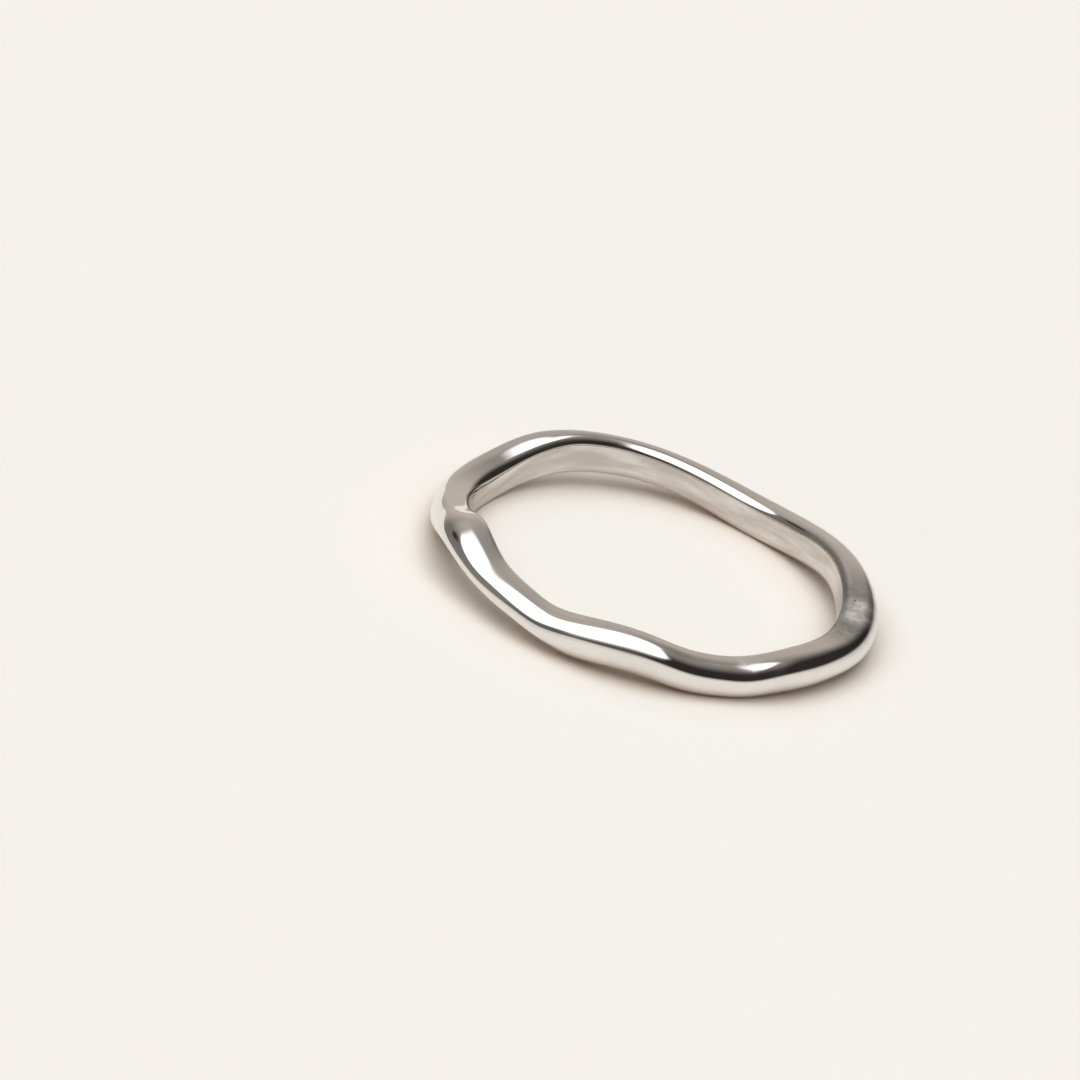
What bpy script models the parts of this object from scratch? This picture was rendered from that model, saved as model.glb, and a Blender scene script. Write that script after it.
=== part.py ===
"""Stackable ring: one slim band of polished silver, lying on its side.

The finger hole is a plain round bore along Z. Round it the band is a loft through a rounded D
section, whose height, width and lean change softly from station to station, so that the band
rises and falls in waves and lies on three small flats worn on its lowest points.

Units are metres and +Z is up. The origin is on the bore's axis, at the level that the ring lies on.
"""
import math
from collections import namedtuple

import bpy
import numpy as np

NODE_NAME = "wave_band"

FINGER_DIAMETER = 0.0170
BAND_HEIGHT = 0.0017
BAND_THICKNESS = 0.00148
WAVE_HEIGHT = 0.0006
INNER_EDGE_RADIUS = 0.00046
FOOT_WEAR = 0.00003

SECTIONS_ROUND = 96
DOME_STEPS = 12
TOP_STEPS = 2
EDGE_STEPS = 4
WALL_STEPS = 3

# One row for each crest, hollow and bend of the band, by its angle round the finger in degrees.
# rise: how far the underside stands off the surface, as a share of WAVE_HEIGHT
# tall: the band's height, as a share of BAND_HEIGHT
# thick: the band's width out from the finger, as a share of BAND_THICKNESS
# upper: the share of the height that lies above the outside's widest line
# outer: the share of the width that the outside's curve takes
# lean: how much higher the outer edge lies than the inner one, as a share of BAND_HEIGHT
# edge: the radius of the edges along the finger hole, as a share of INNER_EDGE_RADIUS
Station = namedtuple("Station", "angle rise tall thick upper outer lean edge")
STATIONS = (
    Station(angle=0, rise=0.54, tall=1.00, thick=1.25, upper=0.50, outer=0.49, lean=0.00, edge=1.00),
    Station(angle=25, rise=1.17, tall=1.00, thick=1.06, upper=0.50, outer=0.53, lean=0.00, edge=1.00),
    Station(angle=65, rise=0.00, tall=1.04, thick=1.15, upper=0.50, outer=0.54, lean=0.00, edge=1.00),
    Station(angle=90, rise=0.90, tall=0.98, thick=1.07, upper=0.54, outer=0.60, lean=0.00, edge=1.00),
    Station(angle=116, rise=1.28, tall=1.12, thick=0.92, upper=0.50, outer=0.66, lean=0.02, edge=1.00),
    Station(angle=127, rise=1.25, tall=1.14, thick=0.94, upper=0.50, outer=0.66, lean=0.12, edge=0.92),
    Station(angle=135, rise=1.15, tall=1.08, thick=0.97, upper=0.51, outer=0.64, lean=0.27, edge=0.78),
    Station(angle=142, rise=0.92, tall=1.01, thick=0.99, upper=0.52, outer=0.61, lean=0.30, edge=0.74),
    Station(angle=150, rise=0.42, tall=1.00, thick=1.04, upper=0.50, outer=0.57, lean=0.28, edge=0.85),
    Station(angle=168, rise=0.00, tall=0.96, thick=1.18, upper=0.54, outer=0.42, lean=0.16, edge=1.00),
    Station(angle=178, rise=0.18, tall=0.97, thick=1.16, upper=0.56, outer=0.38, lean=0.06, edge=1.00),
    Station(angle=187, rise=0.65, tall=0.96, thick=1.16, upper=0.58, outer=0.36, lean=0.00, edge=1.00),
    Station(angle=197, rise=1.50, tall=0.87, thick=1.21, upper=0.61, outer=0.42, lean=-0.06, edge=1.00),
    Station(angle=208, rise=2.52, tall=0.76, thick=1.38, upper=0.64, outer=0.52, lean=-0.10, edge=1.00),
    Station(angle=215, rise=2.40, tall=0.69, thick=1.37, upper=0.65, outer=0.51, lean=-0.08, edge=1.00),
    Station(angle=224, rise=1.90, tall=0.62, thick=1.30, upper=0.66, outer=0.50, lean=-0.05, edge=1.00),
    Station(angle=232, rise=1.45, tall=0.68, thick=1.25, upper=0.67, outer=0.50, lean=-0.02, edge=1.00),
    Station(angle=238, rise=1.24, tall=0.69, thick=1.22, upper=0.70, outer=0.50, lean=0.00, edge=1.00),
    Station(angle=246, rise=0.82, tall=0.77, thick=1.19, upper=0.70, outer=0.50, lean=0.00, edge=1.00),
    Station(angle=254, rise=0.42, tall=1.01, thick=1.17, upper=0.55, outer=0.51, lean=0.00, edge=1.00),
    Station(angle=266, rise=0.60, tall=1.10, thick=1.14, upper=0.50, outer=0.55, lean=0.00, edge=1.00),
    Station(angle=276, rise=0.56, tall=1.09, thick=1.12, upper=0.50, outer=0.55, lean=0.06, edge=1.00),
    Station(angle=286, rise=0.16, tall=1.05, thick=1.08, upper=0.50, outer=0.55, lean=0.02, edge=1.00),
    Station(angle=296, rise=0.00, tall=1.02, thick=1.06, upper=0.50, outer=0.55, lean=0.00, edge=1.00),
    Station(angle=303, rise=0.00, tall=1.02, thick=1.08, upper=0.50, outer=0.55, lean=0.00, edge=1.00),
    Station(angle=313, rise=0.18, tall=1.07, thick=1.12, upper=0.50, outer=0.53, lean=0.09, edge=1.00),
    Station(angle=321, rise=0.32, tall=1.04, thick=1.13, upper=0.50, outer=0.51, lean=0.02, edge=1.00),
    Station(angle=333, rise=0.44, tall=0.97, thick=1.17, upper=0.52, outer=0.49, lean=0.00, edge=1.00),
    Station(angle=345, rise=0.47, tall=0.93, thick=1.25, upper=0.53, outer=0.46, lean=0.00, edge=1.00),
)


def smooth_loop(angles, values, where):
    """A curve of even bend through the values, closed after 360 degrees, read at the angles where."""
    x = np.array(angles, dtype=float)
    y = np.array(values, dtype=float)
    count = len(x)
    gap = np.diff(np.append(x, x[0] + 360.0))
    slope = np.diff(np.append(y, y[0])) / gap
    matrix = np.zeros((count, count))
    for row in range(count):
        matrix[row, row - 1] += gap[row - 1]
        matrix[row, row] += 2.0 * (gap[row - 1] + gap[row])
        matrix[row, (row + 1) % count] += gap[row]
    bend = np.linalg.solve(matrix, 6.0 * (slope - np.roll(slope, 1)))

    start = np.searchsorted(x, where, side="right") - 1
    end = (start + 1) % count
    span = gap[start]
    along = where - x[start]
    first = slope[start] - span * (2.0 * bend[start] + bend[end]) / 6.0
    third = (bend[end] - bend[start]) / (6.0 * span)
    return y[start] + first * along + bend[start] / 2.0 * along**2 + third * along**3


def arc(centre, across, up, start, end, steps):
    """Points of an elliptic arc without its last one; angles in degrees, from outwards to up."""
    points = []
    for step in range(steps):
        angle = math.radians(start + (end - start) * step / steps)
        points.append((centre[0] + across * math.cos(angle), centre[1] + up * math.sin(angle)))
    return points


def line(start, end, steps):
    """Points of a straight stretch without its last one."""
    points = []
    for step in range(steps):
        share = step / steps
        points.append((start[0] + (end[0] - start[0]) * share, start[1] + (end[1] - start[1]) * share))
    return points


def section(thick, tall, upper, outer, edge):
    """The rounded D as (out from the bore, up from the underside), from the widest point over the top."""
    edge = min(edge, 0.48 * thick, 0.48 * tall)
    widest = tall * (1.0 - upper)
    dome = min(outer * thick, thick - edge)
    middle = thick - dome
    half = DOME_STEPS // 2
    points = arc((middle, widest), dome, tall - widest, 0, 90, half)
    points += line((middle, tall), (edge, tall), TOP_STEPS)
    points += arc((edge, tall - edge), edge, edge, 90, 180, EDGE_STEPS)
    points += line((0.0, tall - edge), (0.0, edge), WALL_STEPS)
    points += arc((edge, edge), edge, edge, 180, 270, EDGE_STEPS)
    points += line((edge, 0.0), (middle, 0.0), TOP_STEPS)
    points += arc((middle, widest), dome, widest, 270, 360, half)
    return points


def band_points():
    """Every point of the band, section after section, in the order of a torus's vertices."""
    angles = [station.angle for station in STATIONS]
    where = np.arange(SECTIONS_ROUND) * 360.0 / SECTIONS_ROUND

    def round_the_finger(column, unit):
        return unit * smooth_loop(angles, [getattr(station, column) for station in STATIONS], where)

    rise = round_the_finger("rise", WAVE_HEIGHT)
    tall = round_the_finger("tall", BAND_HEIGHT)
    thick = round_the_finger("thick", BAND_THICKNESS)
    upper = round_the_finger("upper", 1.0)
    outer = round_the_finger("outer", 1.0)
    lean = round_the_finger("lean", BAND_HEIGHT)
    edge = round_the_finger("edge", INNER_EDGE_RADIUS)

    points = []
    for k, angle in enumerate(np.radians(where)):
        for out, up in section(thick[k], tall[k], upper[k], outer[k], edge[k]):
            radius = FINGER_DIAMETER / 2.0 + out
            height = rise[k] + up + lean[k] * (out / thick[k] - 0.5)
            points.append((radius * math.cos(angle), radius * math.sin(angle), max(height - FOOT_WEAR, 0.0)))
    return points


def clear_scene():
    for old in list(bpy.data.objects):
        bpy.data.objects.remove(old)


def polished_silver():
    material = bpy.data.materials.new("polished_silver")
    material.use_nodes = True
    surface = material.node_tree.nodes["Principled BSDF"]
    surface.inputs["Base Color"].default_value = (0.90, 0.88, 0.86, 1.0)
    surface.inputs["Metallic"].default_value = 1.0
    surface.inputs["Roughness"].default_value = 0.08
    return material


def make_band(collection):
    """A torus with as many sides as the loft, its vertices moved onto the loft's points."""
    section_steps = DOME_STEPS + 2 * TOP_STEPS + 2 * EDGE_STEPS + WALL_STEPS
    bpy.ops.mesh.primitive_torus_add(
        major_segments=SECTIONS_ROUND,
        minor_segments=section_steps,
        major_radius=(FINGER_DIAMETER + BAND_THICKNESS) / 2.0,
        minor_radius=BAND_THICKNESS / 2.0,
    )
    band = bpy.context.object
    band.name = NODE_NAME
    band.data.name = NODE_NAME
    band.data.vertices.foreach_set("co", np.array(band_points()).ravel())
    band.data.update()
    band.data.shade_smooth()
    band.data.materials.append(polished_silver())
    for home in list(band.users_collection):
        home.objects.unlink(band)
    collection.objects.link(band)
    return band


clear_scene()
stackable_ring = bpy.data.collections.new("stackable_ring")
bpy.context.scene.collection.children.link(stackable_ring)
make_band(stackable_ring)
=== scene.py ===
"""Stackable ring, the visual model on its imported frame.

One slim band of mirror-polished silver lies on a pale floor under one large soft light. The smooth
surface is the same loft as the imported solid's, drawn through many more sections, so it keeps to that
solid's shape and size. Units are metres, +Z is up and the origin is on the bore's axis at floor level.
"""
import math
from collections import namedtuple

import bpy
import numpy as np
from mathutils import Matrix, Vector


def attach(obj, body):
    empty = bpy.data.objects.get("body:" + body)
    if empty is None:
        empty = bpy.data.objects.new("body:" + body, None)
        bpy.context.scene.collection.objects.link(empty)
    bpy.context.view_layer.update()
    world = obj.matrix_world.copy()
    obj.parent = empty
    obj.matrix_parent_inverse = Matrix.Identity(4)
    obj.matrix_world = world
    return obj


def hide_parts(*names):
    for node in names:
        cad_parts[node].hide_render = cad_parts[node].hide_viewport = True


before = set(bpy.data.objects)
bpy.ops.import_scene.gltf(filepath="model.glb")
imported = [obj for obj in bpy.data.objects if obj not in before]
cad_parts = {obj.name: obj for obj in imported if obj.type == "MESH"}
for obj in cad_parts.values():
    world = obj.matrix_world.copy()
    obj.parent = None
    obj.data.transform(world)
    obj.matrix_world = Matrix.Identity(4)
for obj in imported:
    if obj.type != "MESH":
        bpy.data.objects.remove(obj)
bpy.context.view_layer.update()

# The band's named sizes and its stations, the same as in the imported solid.
FINGER_DIAMETER = 0.0170
BAND_HEIGHT = 0.0017
BAND_THICKNESS = 0.00148
WAVE_HEIGHT = 0.0006
INNER_EDGE_RADIUS = 0.00046
FOOT_WEAR = 0.00003

# How many steps the loft takes round the finger and along each stretch of its section.
SECTIONS_ROUND = 480
DOME_STEPS = 48
TOP_STEPS = 6
EDGE_STEPS = 14
WALL_STEPS = 8

# rise: how far the underside stands off the floor, as a share of WAVE_HEIGHT
# tall: the band's height, as a share of BAND_HEIGHT
# thick: the band's width out from the finger, as a share of BAND_THICKNESS
# upper: the share of the height that lies above the outside's widest line
# outer: the share of the width that the outside's curve takes
# lean: how much higher the outer edge lies than the inner one, as a share of BAND_HEIGHT
# edge: the radius of the edges along the finger hole, as a share of INNER_EDGE_RADIUS
Station = namedtuple("Station", "angle rise tall thick upper outer lean edge")
STATIONS = (
    Station(angle=0, rise=0.54, tall=1.00, thick=1.25, upper=0.50, outer=0.49, lean=0.00, edge=1.00),
    Station(angle=25, rise=1.17, tall=1.00, thick=1.06, upper=0.50, outer=0.53, lean=0.00, edge=1.00),
    Station(angle=65, rise=0.00, tall=1.04, thick=1.15, upper=0.50, outer=0.54, lean=0.00, edge=1.00),
    Station(angle=90, rise=0.90, tall=0.98, thick=1.07, upper=0.54, outer=0.60, lean=0.00, edge=1.00),
    Station(angle=116, rise=1.28, tall=1.12, thick=0.92, upper=0.50, outer=0.66, lean=0.02, edge=1.00),
    Station(angle=127, rise=1.25, tall=1.14, thick=0.94, upper=0.50, outer=0.66, lean=0.12, edge=0.92),
    Station(angle=135, rise=1.15, tall=1.08, thick=0.97, upper=0.51, outer=0.64, lean=0.27, edge=0.78),
    Station(angle=142, rise=0.92, tall=1.01, thick=0.99, upper=0.52, outer=0.61, lean=0.30, edge=0.74),
    Station(angle=150, rise=0.42, tall=1.00, thick=1.04, upper=0.50, outer=0.57, lean=0.28, edge=0.85),
    Station(angle=168, rise=0.00, tall=0.96, thick=1.18, upper=0.54, outer=0.42, lean=0.16, edge=1.00),
    Station(angle=178, rise=0.18, tall=0.97, thick=1.16, upper=0.56, outer=0.38, lean=0.06, edge=1.00),
    Station(angle=187, rise=0.65, tall=0.96, thick=1.16, upper=0.58, outer=0.36, lean=0.00, edge=1.00),
    Station(angle=197, rise=1.50, tall=0.87, thick=1.21, upper=0.61, outer=0.42, lean=-0.06, edge=1.00),
    Station(angle=208, rise=2.52, tall=0.76, thick=1.38, upper=0.64, outer=0.52, lean=-0.10, edge=1.00),
    Station(angle=215, rise=2.40, tall=0.69, thick=1.37, upper=0.65, outer=0.51, lean=-0.08, edge=1.00),
    Station(angle=224, rise=1.90, tall=0.62, thick=1.30, upper=0.66, outer=0.50, lean=-0.05, edge=1.00),
    Station(angle=232, rise=1.45, tall=0.68, thick=1.25, upper=0.67, outer=0.50, lean=-0.02, edge=1.00),
    Station(angle=238, rise=1.24, tall=0.69, thick=1.22, upper=0.70, outer=0.50, lean=0.00, edge=1.00),
    Station(angle=246, rise=0.82, tall=0.77, thick=1.19, upper=0.70, outer=0.50, lean=0.00, edge=1.00),
    Station(angle=254, rise=0.42, tall=1.01, thick=1.17, upper=0.55, outer=0.51, lean=0.00, edge=1.00),
    Station(angle=266, rise=0.60, tall=1.10, thick=1.14, upper=0.50, outer=0.55, lean=0.00, edge=1.00),
    Station(angle=276, rise=0.56, tall=1.09, thick=1.12, upper=0.50, outer=0.55, lean=0.06, edge=1.00),
    Station(angle=286, rise=0.16, tall=1.05, thick=1.08, upper=0.50, outer=0.55, lean=0.02, edge=1.00),
    Station(angle=296, rise=0.00, tall=1.02, thick=1.06, upper=0.50, outer=0.55, lean=0.00, edge=1.00),
    Station(angle=303, rise=0.00, tall=1.02, thick=1.08, upper=0.50, outer=0.55, lean=0.00, edge=1.00),
    Station(angle=313, rise=0.18, tall=1.07, thick=1.12, upper=0.50, outer=0.53, lean=0.09, edge=1.00),
    Station(angle=321, rise=0.32, tall=1.04, thick=1.13, upper=0.50, outer=0.51, lean=0.02, edge=1.00),
    Station(angle=333, rise=0.44, tall=0.97, thick=1.17, upper=0.52, outer=0.49, lean=0.00, edge=1.00),
    Station(angle=345, rise=0.47, tall=0.93, thick=1.25, upper=0.53, outer=0.46, lean=0.00, edge=1.00),
)

# Soft hollows that hand polishing left in the band's top face, and swells where deep is negative.
# angle: where it is round the finger, in degrees; out: how far out from the finger hole
# along and across: how far it reaches along the band and across it
Dent = namedtuple("Dent", "angle out along across deep")
DENTS = (
    Dent(angle=0, out=0.00030, along=0.00050, across=0.00030, deep=-0.000008),
    Dent(angle=8, out=0.00095, along=0.00060, across=0.00040, deep=0.000010),
    Dent(angle=184, out=0.00045, along=0.00035, across=0.00042, deep=-0.000009),
    Dent(angle=206, out=0.00135, along=0.00120, across=0.00040, deep=0.000030),
    Dent(angle=209, out=0.00105, along=0.00060, across=0.00045, deep=-0.000030),
    Dent(angle=223, out=0.00085, along=0.00200, across=0.00040, deep=-0.000040),
    Dent(angle=340, out=0.00090, along=0.00060, across=0.00040, deep=0.000008),
    Dent(angle=352, out=0.00040, along=0.00055, across=0.00035, deep=0.000010),
)

# Round spots that wear has left on the band's top face; the pit among them is painted dark, as the shade
# in its hollow.
# angle and out: where the middle is, as for a dent; size: the radius halfway down the soft rim
# soft: the rim's half width as a share of size
Spot = namedtuple("Spot", "angle out size soft")
TARNISHED_END = Spot(angle=356.0, out=0.0009, size=0.0027, soft=0.6)
WORN_END = Spot(angle=355.0, out=0.00080, size=0.00062, soft=0.7)
WORN_END_BESIDE = Spot(angle=0.5, out=0.00078, size=0.00060, soft=0.7)
WORN_FRONT = Spot(angle=303.5, out=0.00072, size=0.00060, soft=0.8)
PIT = Spot(angle=2.7, out=0.00056, size=0.000045, soft=0.6)

# How far out from the finger hole its own look, painted shade included, ends, and the tarnish fades:
# (first, last).
FINGER_HOLE_ENDS = (0.00002, 0.00014)
TARNISH_FADES = (0.0015, 0.0018)

# The silver's tones, as light values: clean, hazy, inside the finger hole painted darker as shade,
# tarnished, worn, and the pit's painted shade.
CLEAN_SILVER = (0.812, 0.792, 0.770, 1.0)
HAZY_SILVER = (0.775, 0.755, 0.733, 1.0)
SHADED_FINGER_HOLE_SILVER = (0.530, 0.475, 0.430, 1.0)
TARNISHED_SILVER = (0.385, 0.393, 0.398, 1.0)
WORN_SILVER = (0.860, 0.865, 0.870, 1.0)
PIT_PAINTED_SHADE = (0.080, 0.078, 0.075, 1.0)

# The size of the pattern of lines: the circle that it runs round, and its length round the section.
LINE_CIRCLE_RADIUS = 0.0008
SECTION_LENGTH = 0.0055

# How high the fine relief stands on the silver and on the floor.
POLISH_RELIEF = 0.000001
FLOOR_RELIEF = 0.00001

# Rounded forms on the studio's map, with middle and size in degrees to the right and to the back.
# power: how square the form is, where 2 is an ellipse; tilt: how far it is turned, in degrees
# A patch also has a soft rim, its half width as a share of size, and a colour from 0 to 255.
Form = namedtuple("Form", "middle size power tilt")
Patch = namedtuple("Patch", "middle size power tilt soft colour")
LEFT_WALL = Patch((-60.0, 25.0), (36.0, 50.0), power=2.0, tilt=0.0, soft=0.7, colour=(122, 118, 114))
LIT_CEILING = Patch((-17.0, 36.0), (20.0, 24.0), power=2.0, tilt=0.0, soft=0.9, colour=(184, 178, 172))
LIGHT_STAND = Patch((-52.0, 14.0), (8.0, 9.0), power=2.0, tilt=0.0, soft=0.6, colour=(56, 54, 52))
RIGHT_WALL = Patch((70.0, 30.0), (38.0, 66.0), power=2.6, tilt=20.0, soft=0.35, colour=(52, 50, 48))
DARK_CORNER = Patch((48.0, -50.0), (32.0, 46.0), power=2.0, tilt=0.0, soft=0.5, colour=(50, 48, 46))
TABLE_EDGE = Patch((-7.0, 9.0), (93.0, 78.0), power=2.2, tilt=-45.0, soft=0.07, colour=(232, 225, 217))
SOFTBOX = Form((-4.0, -15.0), (41.0, 34.0), power=2.8, tilt=0.0)
SOFTBOX_STRIP = Form((-2.0, 10.0), (13.0, 14.0), power=2.2, tilt=-12.0)
SOFTBOX_LIGHT = (2.35, 2.33, 2.30, 1.0)

# Straight edges that cut the softbox's back corners off. Beyond one, the place's right and back, each
# times its share, add up to more than start.
Cut = namedtuple("Cut", "right_share back_share start")
RIGHT_CUT = Cut(right_share=0.94, back_share=0.33, start=22.5)
LEFT_CUT = Cut(right_share=-0.75, back_share=0.66, start=34.0)

# How many degrees wide the rounding is where the softbox's forms meet.
CUT_ROUNDING = 10.0
STRIP_ROUNDING = 14.0

# The camera, turned with the ring's lean in the photograph, and where the ring's middle shows there.
# The sensor and the lens are in millimetres, and the angles in degrees.
PHOTO_SIDE = 1080
SENSOR = 36.0
LENS = 300.0
CAMERA_DISTANCE = 0.4
CAMERA_AZIMUTH = 0.47
CAMERA_ELEVATION = 26.23
CAMERA_ROLL = 16.55
CAMERA_NEAR = 0.01
CAMERA_FAR = 5.0
RING_MIDDLE = Vector((0.0, 0.0, 0.00173))
RING_MIDDLE_PIXEL = (657.1, 552.1)

# The floor's disc, the sweep that rises behind it, and how near the ring has to be for the floor's painted
# brown contact shadow.
DISC_SIDES = 128
FLOOR_RADIUS = 0.35
SWEEP_RADIUS = 0.60
SWEEP_HEIGHT = 0.35
SWEEP_STEPS = 12
CONTACT_REACH = 0.0025
CONTACT_SAMPLES = 3


def smooth_loop(angles, values, where):
    """A curve of even bend through the values, closed after 360 degrees, read at the angles where."""
    x = np.array(angles, dtype=float)
    y = np.array(values, dtype=float)
    count = len(x)
    gap = np.diff(np.append(x, x[0] + 360.0))
    slope = np.diff(np.append(y, y[0])) / gap
    matrix = np.zeros((count, count))
    for row in range(count):
        matrix[row, row - 1] += gap[row - 1]
        matrix[row, row] += 2.0 * (gap[row - 1] + gap[row])
        matrix[row, (row + 1) % count] += gap[row]
    bend = np.linalg.solve(matrix, 6.0 * (slope - np.roll(slope, 1)))

    start = np.searchsorted(x, where, side="right") - 1
    end = (start + 1) % count
    span = gap[start]
    along = where - x[start]
    first = slope[start] - span * (2.0 * bend[start] + bend[end]) / 6.0
    third = (bend[end] - bend[start]) / (6.0 * span)
    return y[start] + first * along + bend[start] / 2.0 * along**2 + third * along**3


def arc(centre, across, up, start, end, steps):
    """Points of an elliptic arc without its last one; angles in degrees, from outwards to up."""
    points = []
    for step in range(steps):
        angle = math.radians(start + (end - start) * step / steps)
        points.append((centre[0] + across * math.cos(angle), centre[1] + up * math.sin(angle)))
    return points


def line(start, end, steps):
    """Points of a straight stretch without its last one."""
    points = []
    for step in range(steps):
        share = step / steps
        points.append((start[0] + (end[0] - start[0]) * share, start[1] + (end[1] - start[1]) * share))
    return points


def section(thick, tall, upper, outer, edge):
    """The rounded D as (out from the bore, up from the underside), from the widest point over the top."""
    edge = min(edge, 0.48 * thick, 0.48 * tall)
    widest = tall * (1.0 - upper)
    dome = min(outer * thick, thick - edge)
    middle = thick - dome
    half = DOME_STEPS // 2
    points = arc((middle, widest), dome, tall - widest, 0, 90, half)
    points += line((middle, tall), (edge, tall), TOP_STEPS)
    points += arc((edge, tall - edge), edge, edge, 90, 180, EDGE_STEPS)
    points += line((0.0, tall - edge), (0.0, edge), WALL_STEPS)
    points += arc((edge, edge), edge, edge, 180, 270, EDGE_STEPS)
    points += line((edge, 0.0), (middle, 0.0), TOP_STEPS)
    points += arc((middle, widest), dome, widest, 270, 360, half)
    return points


def dent_depth(angle, out, up, tall):
    """How far the dents press a point down; only the upper half of the section gives way."""
    depth = 0.0
    for dent in DENTS:
        turn = (angle - dent.angle + 180.0) % 360.0 - 180.0
        along = math.radians(turn) * (FINGER_DIAMETER / 2.0 + dent.out) / dent.along
        across = (out - dent.out) / dent.across
        depth += dent.deep * math.exp(-along * along - across * across)
    return depth * max(0.0, 2.0 * up / tall - 1.0)


def band_points():
    """Every point of the band, section after section."""
    angles = [station.angle for station in STATIONS]
    where = np.arange(SECTIONS_ROUND) * 360.0 / SECTIONS_ROUND

    def round_the_finger(column, unit):
        return unit * smooth_loop(angles, [getattr(station, column) for station in STATIONS], where)

    rise = round_the_finger("rise", WAVE_HEIGHT)
    tall = round_the_finger("tall", BAND_HEIGHT)
    thick = round_the_finger("thick", BAND_THICKNESS)
    upper = round_the_finger("upper", 1.0)
    outer = round_the_finger("outer", 1.0)
    lean = round_the_finger("lean", BAND_HEIGHT)
    edge = round_the_finger("edge", INNER_EDGE_RADIUS)

    points = []
    for k, angle in enumerate(np.radians(where)):
        for out, up in section(thick[k], tall[k], upper[k], outer[k], edge[k]):
            radius = FINGER_DIAMETER / 2.0 + out
            height = rise[k] + up + lean[k] * (out / thick[k] - 0.5)
            height -= dent_depth(where[k], out, up, tall[k])
            level = max(height - FOOT_WEAR, 0.0)
            points.append((radius * math.cos(angle), radius * math.sin(angle), level))
    return points


class Nodes:
    """Short calls for building a node tree."""

    def __init__(self, owner):
        owner.use_nodes = True
        self.tree = owner.node_tree
        self.nodes = self.tree.nodes

    def add(self, kind, **settings):
        node = self.nodes.new(kind)
        for name, value in settings.items():
            setattr(node, name, value)
        return node

    def put(self, socket, value):
        if isinstance(value, bpy.types.NodeSocket):
            self.tree.links.new(value, socket)
        else:
            socket.default_value = value

    def math(self, operation, *values):
        node = self.add("ShaderNodeMath", operation=operation)
        for socket, value in zip(node.inputs, values):
            self.put(socket, value)
        return node.outputs[0]

    def split(self, vector):
        node = self.add("ShaderNodeSeparateXYZ")
        self.put(node.inputs[0], vector)
        return node.outputs

    def ramp(self, value, low, high, at_low=0.0, at_high=1.0):
        node = self.add("ShaderNodeMapRange", interpolation_type="SMOOTHSTEP")
        self.put(node.inputs["Value"], value)
        self.put(node.inputs["From Min"], low)
        self.put(node.inputs["From Max"], high)
        self.put(node.inputs["To Min"], at_low)
        self.put(node.inputs["To Max"], at_high)
        return node.outputs[0]

    def mix(self, share, first, second):
        node = self.add("ShaderNodeMix", data_type="RGBA")
        self.put(node.inputs["Factor"], share)
        self.put(node.inputs["A"], first)
        self.put(node.inputs["B"], second)
        return node.outputs["Result"]

    def noise(self, place, scale, detail=2.0, roughness=0.5):
        node = self.add("ShaderNodeTexNoise")
        self.put(node.inputs["Vector"], place)
        node.inputs["Scale"].default_value = scale
        node.inputs["Detail"].default_value = detail
        node.inputs["Roughness"].default_value = roughness
        return node.outputs["Fac"]


def paint(red, green, blue):
    """A colour given as it shows on a screen, from 0 to 255, as the light values that Blender uses."""
    return tuple((value / 255.0) ** 2.2 for value in (red, green, blue)) + (1.0,)


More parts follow.
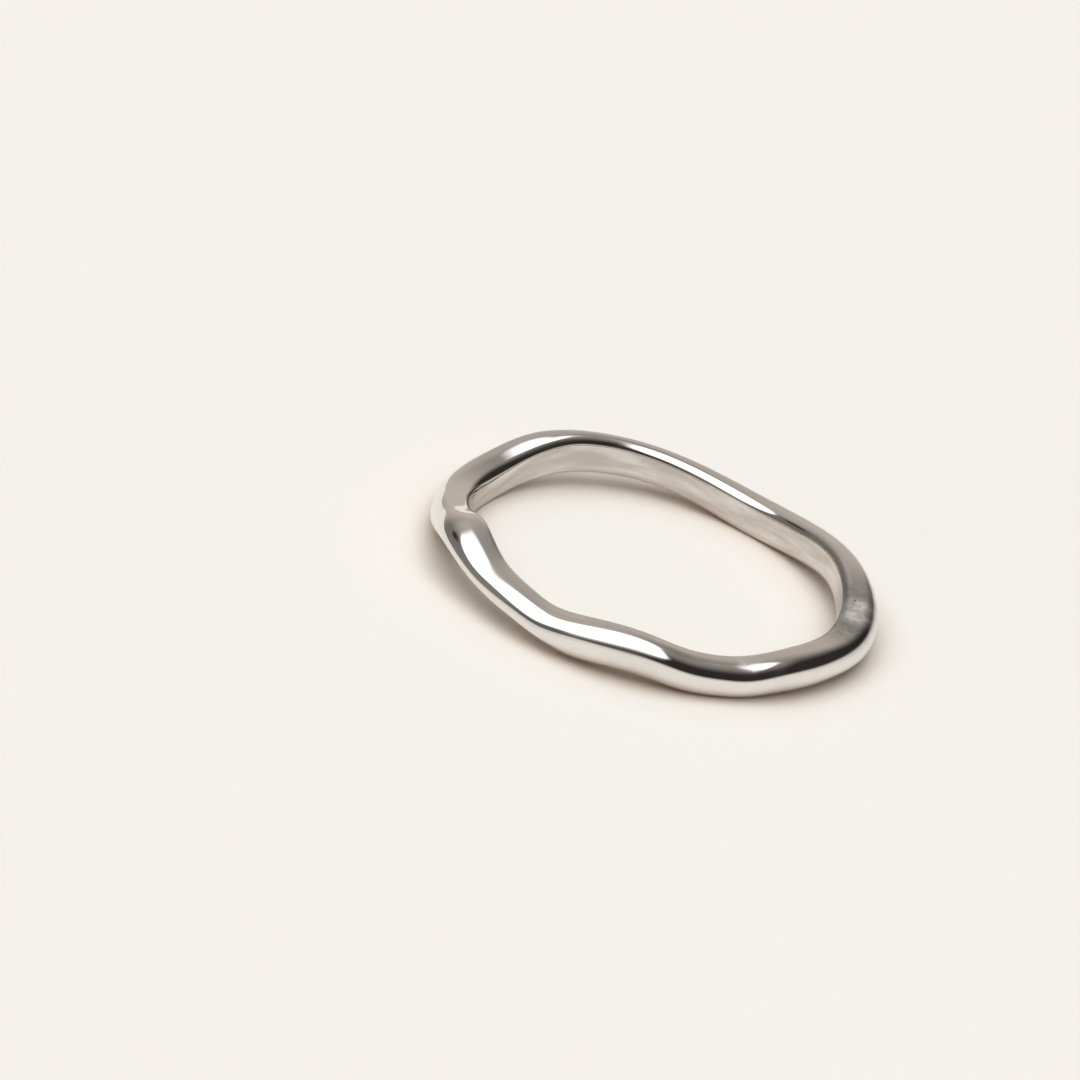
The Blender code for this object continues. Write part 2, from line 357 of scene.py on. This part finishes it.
def polished_silver():
    """Mirror polish with slow unevenness from the hand, fine lines along the band, and dulled spots; the
    finger hole and a pit are darkened with painted shade.
    """
    material = bpy.data.materials.new("polished_silver")
    make = Nodes(material)
    surface = make.nodes["Principled BSDF"]
    where = make.add("ShaderNodeTexCoord")
    place = where.outputs["Object"]
    x, y = make.split(place)[:2]
    bore = FINGER_DIAMETER / 2.0

    def length(east, north):
        """How long the way is that goes so far east and so far north."""
        square = make.math("ADD", make.math("MULTIPLY", east, east), make.math("MULTIPLY", north, north))
        return make.math("SQRT", square)

    def on(spot):
        """1 on a round spot of the band and 0 off it."""
        turn = math.radians(spot.angle)
        east = make.math("SUBTRACT", x, (bore + spot.out) * math.cos(turn))
        north = make.math("SUBTRACT", y, (bore + spot.out) * math.sin(turn))
        near = spot.size * (1.0 - spot.soft)
        far = spot.size * (1.0 + spot.soft)
        return make.ramp(length(east, north), near, far, 1.0, 0.0)

    def fading(ends, last):
        """1 nearer to the finger hole than both ends, and last beyond them."""
        return make.ramp(radius, bore + ends[0], bore + ends[1], 1.0, last)

    # lines follow the band: their pattern runs round a circle far smaller than the band, which draws it
    # out along the band and closes it without a seam
    radius = length(x, y)
    section_share = make.split(where.outputs["UV"])[1]
    along = make.add("ShaderNodeCombineXYZ")
    make.put(along.inputs[0], make.math("MULTIPLY", make.math("DIVIDE", x, radius), LINE_CIRCLE_RADIUS))
    make.put(along.inputs[1], make.math("MULTIPLY", section_share, SECTION_LENGTH))
    make.put(along.inputs[2], make.math("MULTIPLY", make.math("DIVIDE", y, radius), LINE_CIRCLE_RADIUS))

    # a noise's scale is about how many of its lumps a metre holds
    slow = make.noise(place, 420.0, 1.0)
    cloud = make.noise(place, 2600.0, 4.0, 0.65)
    haze = make.ramp(make.noise(place, 330.0, 3.0, 0.6), 0.50, 0.74)
    drawn = make.noise(along.outputs[0], 3000.0, 3.0, 0.55)
    marks = make.noise(along.outputs[0], 26000.0, 3.0, 0.6)
    fine = make.noise(place, 30000.0, 2.0)
    inner = fading(FINGER_HOLE_ENDS, 0.0)

    # tarnish greys the right end, and wear has left bright dull spots on the top; the finger hole's wall
    # is darkened and browned with painted shade, the shaded floor that it mirrors, in streaks that follow
    # the drawn lines along the band
    tarnish = make.math("MULTIPLY", on(TARNISHED_END), make.ramp(cloud, 0.30, 0.60, 0.62, 1.0))
    tarnish = make.math("MULTIPLY", tarnish, fading(TARNISH_FADES, 0.2))
    worn = make.math("ADD", make.math("MAXIMUM", on(WORN_END), on(WORN_END_BESIDE)), on(WORN_FRONT))
    worn = make.math("MULTIPLY", worn, make.ramp(cloud, 0.36, 0.60, 0.50, 1.0))
    # painted shade: the finger hole's wall darkened and browned as the shaded floor it mirrors, streaked
    # along the drawn lines
    hole_painted_shade = make.math("MULTIPLY", inner, make.ramp(drawn, 0.32, 0.66, 0.30, 1.0))

    tone = make.mix(haze, CLEAN_SILVER, HAZY_SILVER)
    tones = (
        (hole_painted_shade, SHADED_FINGER_HOLE_SILVER),
        (tarnish, TARNISHED_SILVER),
        (worn, WORN_SILVER),
        # the pit: a near-black dot of painted shade
        (on(PIT), PIT_PAINTED_SHADE),
    )
    for layer, colour in tones:
        tone = make.mix(layer, tone, colour)
    make.put(surface.inputs["Base Color"], tone)
    surface.inputs["Metallic"].default_value = 1.0

    roughness = make.math("MULTIPLY_ADD", haze, 0.06, 0.045)
    for layer, more in ((make.ramp(marks, 0.45, 0.8), 0.03), (inner, 0.06), (tarnish, 0.08), (worn, 0.32)):
        roughness = make.math("MULTIPLY_ADD", layer, more, roughness)
    make.put(surface.inputs["Roughness"], roughness)

    # each layer's height is counted in units of POLISH_RELIEF
    height = make.math("MULTIPLY", slow, 6.0)
    layers = (
        (make.math("MULTIPLY", drawn, inner), 4.0),
        (make.math("MULTIPLY", cloud, tarnish), 1.2),
        (marks, 0.05),
        (fine, 0.02),
    )
    for layer, more in layers:
        height = make.math("MULTIPLY_ADD", layer, more, height)
    bump = make.add("ShaderNodeBump")
    bump.inputs["Strength"].default_value = 1.0
    bump.inputs["Distance"].default_value = POLISH_RELIEF
    make.put(bump.inputs["Height"], height)
    make.put(surface.inputs["Normal"], bump.outputs[0])
    return material


def pale_floor():
    """Warm white matt board with a very fine tooth, and a painted brown shadow where something stands
    close over it.
    """
    material = bpy.data.materials.new("pale_floor")
    make = Nodes(material)
    surface = make.nodes["Principled BSDF"]
    place = make.add("ShaderNodeTexCoord").outputs["Object"]
    clouds = make.noise(place, 18.0, 2.0)
    tooth = make.noise(place, 9000.0, 2.0)
    board = make.mix(clouds, paint(243, 241, 237), paint(247, 245, 241))
    painted_shadow_occlusion = make.add("ShaderNodeAmbientOcclusion", samples=CONTACT_SAMPLES)
    painted_shadow_occlusion.inputs["Distance"].default_value = CONTACT_REACH
    # painted shadow: the board browns where the occlusion finds the ring close above it
    board = make.mix(make.ramp(painted_shadow_occlusion.outputs["AO"], 0.2, 1.0), paint(226, 212, 198), board)
    make.put(surface.inputs["Base Color"], board)
    surface.inputs["Roughness"].default_value = 0.9
    surface.inputs["Specular IOR Level"].default_value = 0.1
    bump = make.add("ShaderNodeBump")
    bump.inputs["Strength"].default_value = 1.0
    bump.inputs["Distance"].default_value = FLOOR_RELIEF
    make.put(bump.inputs["Height"], tooth)
    make.put(surface.inputs["Normal"], bump.outputs[0])
    return material


def lay_map(mesh, around):
    """A UV map of the band: along it is one turn round the finger, up it is one turn round the section."""
    corners = []
    for k in range(SECTIONS_ROUND):
        for j in range(around):
            for along, up in ((k, j), (k + 1, j), (k + 1, j + 1), (k, j + 1)):
                corners += (along / SECTIONS_ROUND, up / around)
    mesh.uv_layers.new(name="round_the_band").data.foreach_set("uv", corners)


def make_band():
    """The smooth loft as one closed quad mesh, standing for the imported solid."""
    points = band_points()
    around = DOME_STEPS + 2 * TOP_STEPS + 2 * EDGE_STEPS + WALL_STEPS
    faces = []
    for k in range(SECTIONS_ROUND):
        here = k * around
        there = (k + 1) % SECTIONS_ROUND * around
        for j in range(around):
            beside = (j + 1) % around
            faces.append((here + j, there + j, there + beside, here + beside))
    mesh = bpy.data.meshes.new("wave_band_surface")
    mesh.from_pydata(points, [], faces)
    mesh.shade_smooth()
    lay_map(mesh, around)
    mesh.materials.append(polished_silver())
    band = bpy.data.objects.new("wave_band_surface", mesh)
    bpy.context.scene.collection.objects.link(band)
    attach(band, "root")
    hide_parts("wave_band")


def make_disc(name, rings, material):
    """A round surface through rings of (radius, height), from the middle outwards."""
    points = []
    for radius, height in rings:
        for k in range(DISC_SIDES):
            turn = 2.0 * math.pi * k / DISC_SIDES
            points.append((radius * math.cos(turn), radius * math.sin(turn), height))
    faces = []
    for ring in range(len(rings) - 1):
        for k in range(DISC_SIDES):
            near = ring * DISC_SIDES
            far = near + DISC_SIDES
            beside = (k + 1) % DISC_SIDES
            faces.append((near + k, far + k, far + beside, near + beside))
    mesh = bpy.data.meshes.new(name)
    mesh.from_pydata(points, [], faces)
    mesh.shade_smooth()
    mesh.materials.append(material)
    disc = bpy.data.objects.new(name, mesh)
    bpy.context.scene.collection.objects.link(disc)
    return disc


def make_stage():
    """The floor, and a sweep behind it that only the camera sees."""
    material = pale_floor()
    make_disc("floor", [(0.0, 0.0), (FLOOR_RADIUS / 3.0, 0.0), (FLOOR_RADIUS, 0.0)], material)
    rings = []
    for step in range(SWEEP_STEPS + 1):
        turn = math.pi / 2.0 * step / SWEEP_STEPS
        radius = FLOOR_RADIUS + (SWEEP_RADIUS - FLOOR_RADIUS) * math.sin(turn)
        rings.append((radius, SWEEP_HEIGHT * (1.0 - math.cos(turn))))
    sweep = make_disc("sweep", rings, material)
    sweep.visible_glossy = False
    sweep.visible_diffuse = False
    sweep.visible_shadow = False


def make_studio():
    """Soft studio light as a sky round the ring, drawn on a map with the zenith in its middle.

    The map's axes are degrees away from the zenith, right and to the back.
    """
    world = bpy.data.worlds.new("studio")
    bpy.context.scene.world = world
    make = Nodes(world)
    background = make.nodes["Background"]
    way = make.add("ShaderNodeTexCoord").outputs["Generated"]
    x, y, z = make.split(way)
    zenith = make.math("MULTIPLY", make.math("ARCCOSINE", z), math.degrees(1.0))
    turn = make.math("ARCTAN2", x, y)
    right = make.math("MULTIPLY", zenith, make.math("SINE", turn))
    back = make.math("MULTIPLY", zenith, make.math("COSINE", turn))

    def share(distance, size, power):
        """A distance as a share of a size, raised to a power."""
        return make.math("POWER", make.math("ABSOLUTE", make.math("DIVIDE", distance, size)), power)

    def reach(form):
        """How far out a place lies from a rounded form's middle, 1 on the form's rim."""
        cosine = math.cos(math.radians(form.tilt))
        sine = math.sin(math.radians(form.tilt))
        east = make.math("SUBTRACT", right, form.middle[0])
        north = make.math("SUBTRACT", back, form.middle[1])
        across = make.math("ADD", make.math("MULTIPLY", east, cosine), make.math("MULTIPLY", north, sine))
        up = make.math("SUBTRACT", make.math("MULTIPLY", north, cosine), make.math("MULTIPLY", east, sine))
        across = share(across, form.size[0], form.power)
        up = share(up, form.size[1], form.power)
        return make.math("POWER", make.math("ADD", across, up), 1.0 / form.power)

    def inside(patch):
        """1 inside a patch of the map and 0 outside it."""
        return make.ramp(reach(patch), 1.0 - patch.soft, 1.0 + patch.soft, 1.0, 0.0)

    def outside(form, degrees):
        """About how many degrees a place lies outside a form, where its size counts as that many."""
        return make.math("MULTIPLY_ADD", reach(form), degrees, -degrees)

    def beyond(cut):
        """How many degrees a place lies beyond a cut's straight edge."""
        past = make.math("MULTIPLY_ADD", back, cut.back_share, -cut.start)
        return make.math("MULTIPLY_ADD", right, cut.right_share, past)

    # the room is lighter towards the back, with a dark side on the right and a dim front
    room = make.mix(make.ramp(back, 30.0, 80.0), paint(146, 140, 135), paint(196, 186, 176))
    for patch in (LEFT_WALL, LIT_CEILING, LIGHT_STAND, RIGHT_WALL):
        room = make.mix(inside(patch), room, paint(*patch.colour))
    room = make.mix(make.ramp(back, -58.0, -22.0, 1.0, 0.0), room, paint(90, 86, 83))
    room = make.mix(inside(DARK_CORNER), room, paint(*DARK_CORNER.colour))

    # the pale table runs on far beyond the ring, so it also fills the sky's rim
    sky = make.mix(inside(TABLE_EDGE), paint(*TABLE_EDGE.colour), room)

    # one large soft light overhead, its back corners cut off, runs into a narrow strip behind it; its
    # rim is blurred by more degrees at the front and at the back
    light = make.math("SMOOTH_MAX", outside(SOFTBOX, 35.0), beyond(RIGHT_CUT), CUT_ROUNDING)
    light = make.math("SMOOTH_MAX", light, beyond(LEFT_CUT), CUT_ROUNDING)
    light = make.math("SMOOTH_MIN", light, outside(SOFTBOX_STRIP, 15.0), STRIP_ROUNDING)
    back_blur = make.ramp(back, 5.0, 25.0, 2.5, 7.5)
    front_blur = make.ramp(back, -60.0, -35.0, 13.0, 0.0)
    light = make.math("DIVIDE", light, make.math("ADD", back_blur, front_blur))
    sky = make.mix(make.ramp(light, -1.0, 1.0, 1.0, 0.0), sky, SOFTBOX_LIGHT)
    make.put(background.inputs["Color"], sky)
    background.inputs["Strength"].default_value = 1.0


def make_camera():
    """A long lens at the photograph's angle, aimed so that the ring's middle falls on its pixel."""
    azimuth = math.radians(CAMERA_AZIMUTH)
    elevation = math.radians(CAMERA_ELEVATION)
    towards = Vector((
        math.cos(elevation) * math.sin(azimuth),
        -math.cos(elevation) * math.cos(azimuth),
        math.sin(elevation),
    ))
    roll = Matrix.Rotation(math.radians(CAMERA_ROLL), 3, "Z")
    turn = (-towards).to_track_quat("-Z", "Y").to_matrix() @ roll
    pixel = CAMERA_DISTANCE * SENSOR / LENS / PHOTO_SIDE
    off_right = (RING_MIDDLE_PIXEL[0] - PHOTO_SIDE / 2.0) * pixel
    off_down = (RING_MIDDLE_PIXEL[1] - PHOTO_SIDE / 2.0) * pixel
    aim = RING_MIDDLE - turn.col[0] * off_right + turn.col[1] * off_down
    data = bpy.data.cameras.new("camera")
    data.lens = LENS
    data.sensor_width = SENSOR
    data.clip_start = CAMERA_NEAR
    data.clip_end = CAMERA_FAR
    camera = bpy.data.objects.new("camera", data)
    camera.matrix_world = Matrix.Translation(aim + towards * CAMERA_DISTANCE) @ turn.to_4x4()
    bpy.context.scene.collection.objects.link(camera)
    bpy.context.scene.camera = camera


make_band()
make_stage()
make_studio()
make_camera()
bpy.context.scene.view_settings.view_transform = "Standard"
